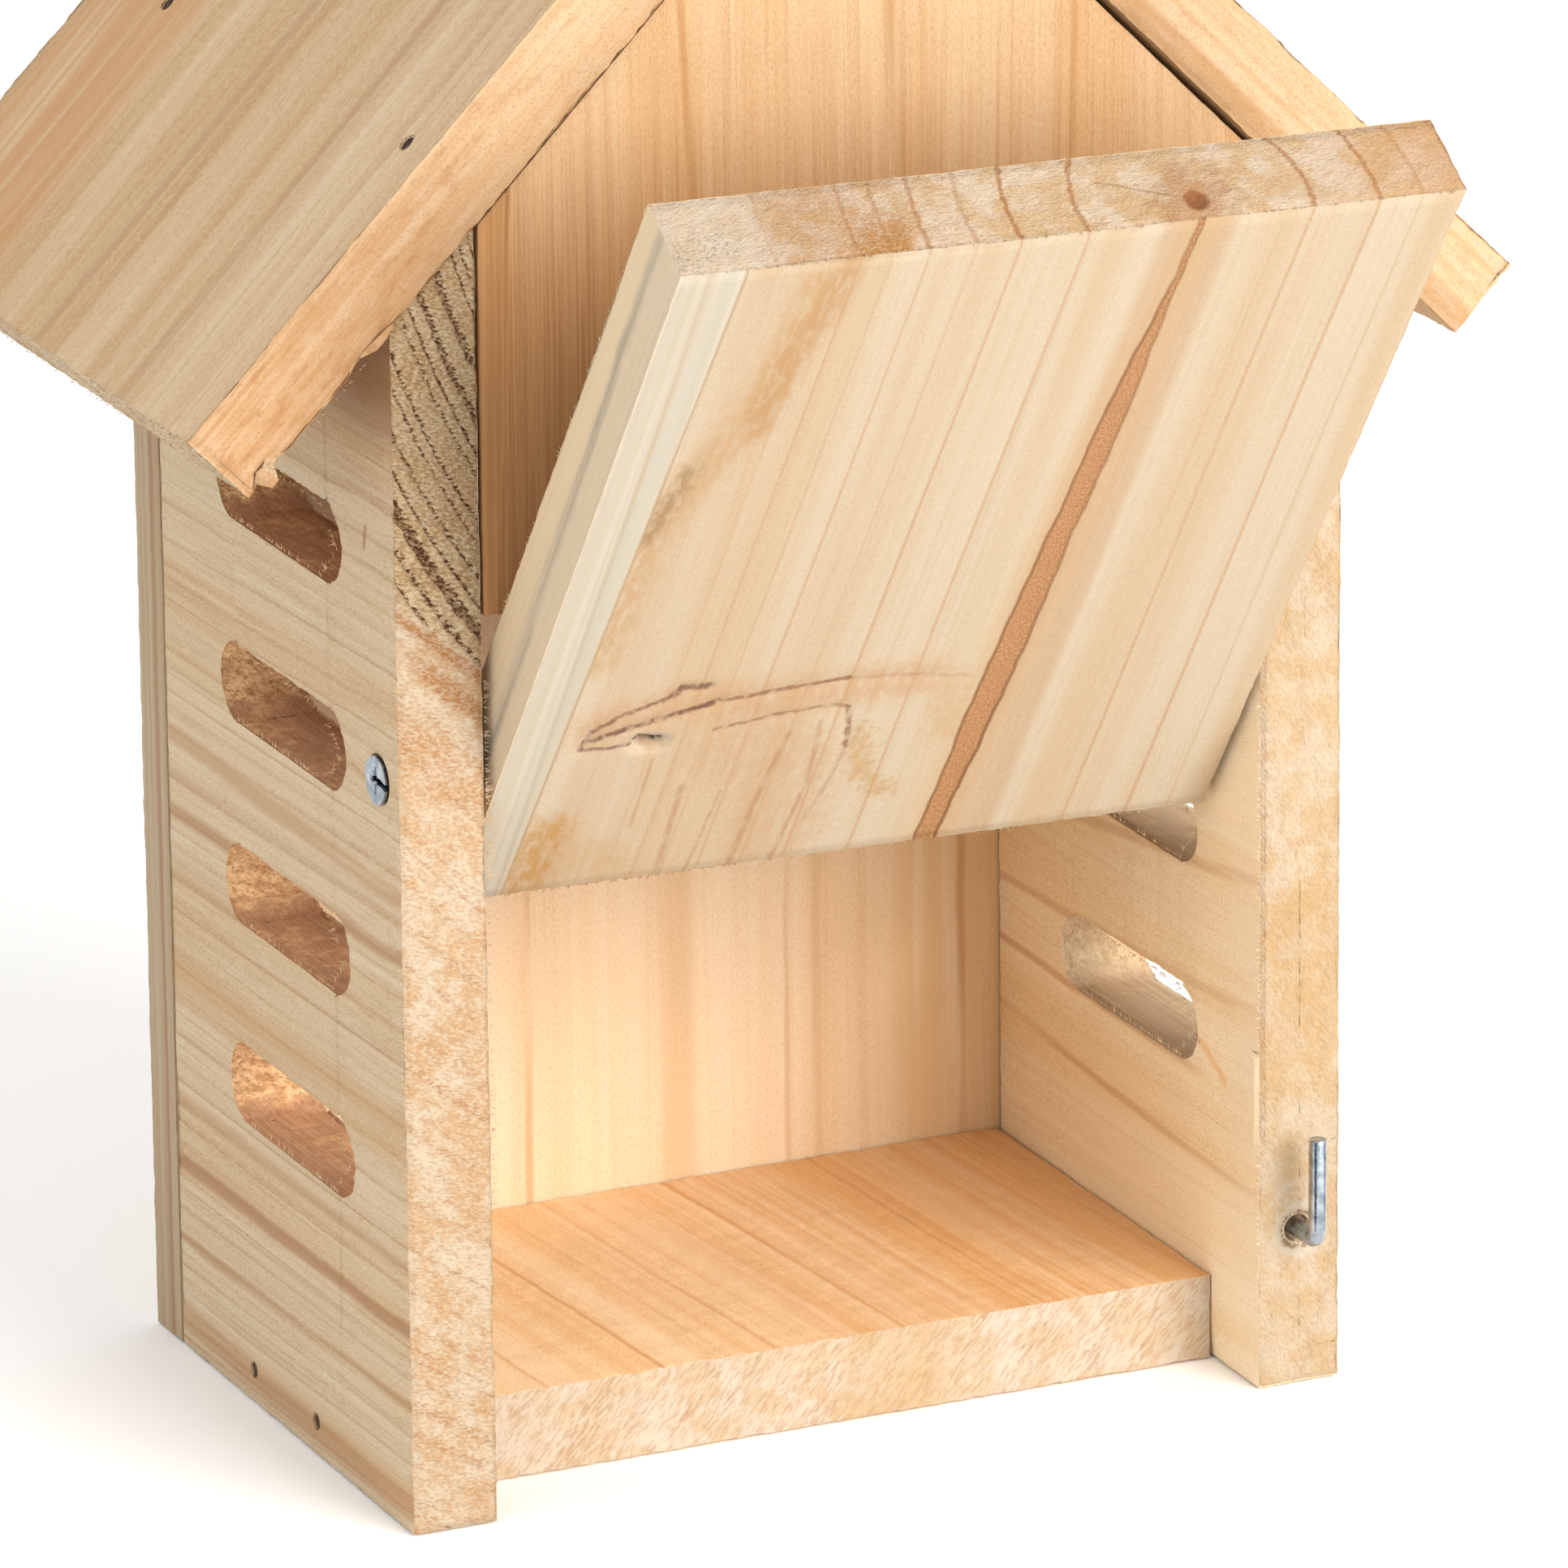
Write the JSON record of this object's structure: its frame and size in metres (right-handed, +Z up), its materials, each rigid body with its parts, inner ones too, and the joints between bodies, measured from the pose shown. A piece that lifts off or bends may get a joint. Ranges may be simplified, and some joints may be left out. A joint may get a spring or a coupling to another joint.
{
  "type": "insect house",
  "caption": "Small wooden insect house with long slots in both side boards, a pitched roof and a front board that swings up on side screws.",
  "frame": {"origin": "middle of the underside of the house", "axes": "+Z up, -Y out of the front where the door is, +X to the viewer's right"},
  "size_m": [0.1824, 0.1585, 0.2385],
  "materials": {
    "side_boards": "sawn, unfinished",
    "back_panel": "planed, unfinished",
    "floor_board": "planed, unfinished",
    "gable_board": "planed, unfinished",
    "roof_boards": "sawn, unfinished",
    "door_board": "planed, unfinished",
    "zinc_screws": "zinc plated",
    "zinc_hook": "bright zinc plated",
    "brads": "galvanised"
  },
  "bodies": {
    "house": {"left_side": "side_boards", "right_side": "side_boards", "back_panel": "back_panel", "floor_board": "floor_board", "gable_board": "gable_board", "roof_left": "roof_boards", "roof_right": "roof_boards", "floor_brads": "brads", "back_brads": "brads", "roof_brads_left": "brads", "roof_brads_right": "brads", "ridge_brads": "brads"},
    "door": {"door": "door_board", "pivot_screw_left": "zinc_screws", "pivot_screw_right": "zinc_screws"},
    "hook": {"turn_hook": "zinc_hook"}
  },
  "joints": [
    {"name": "door_swing", "type": "hinge", "parent": "house", "child": "door", "pos_m": [0, -0.0375, 0.0978], "axis": [0.9999, 0, -0.0115], "range_deg": [0, 145.6]},
    {"name": "hook_turn", "type": "hinge", "parent": "house", "child": "hook", "pos_m": [0.0595, -0.0435, 0.0213], "axis": [0, -1, 0], "continuous": true}
  ]
}
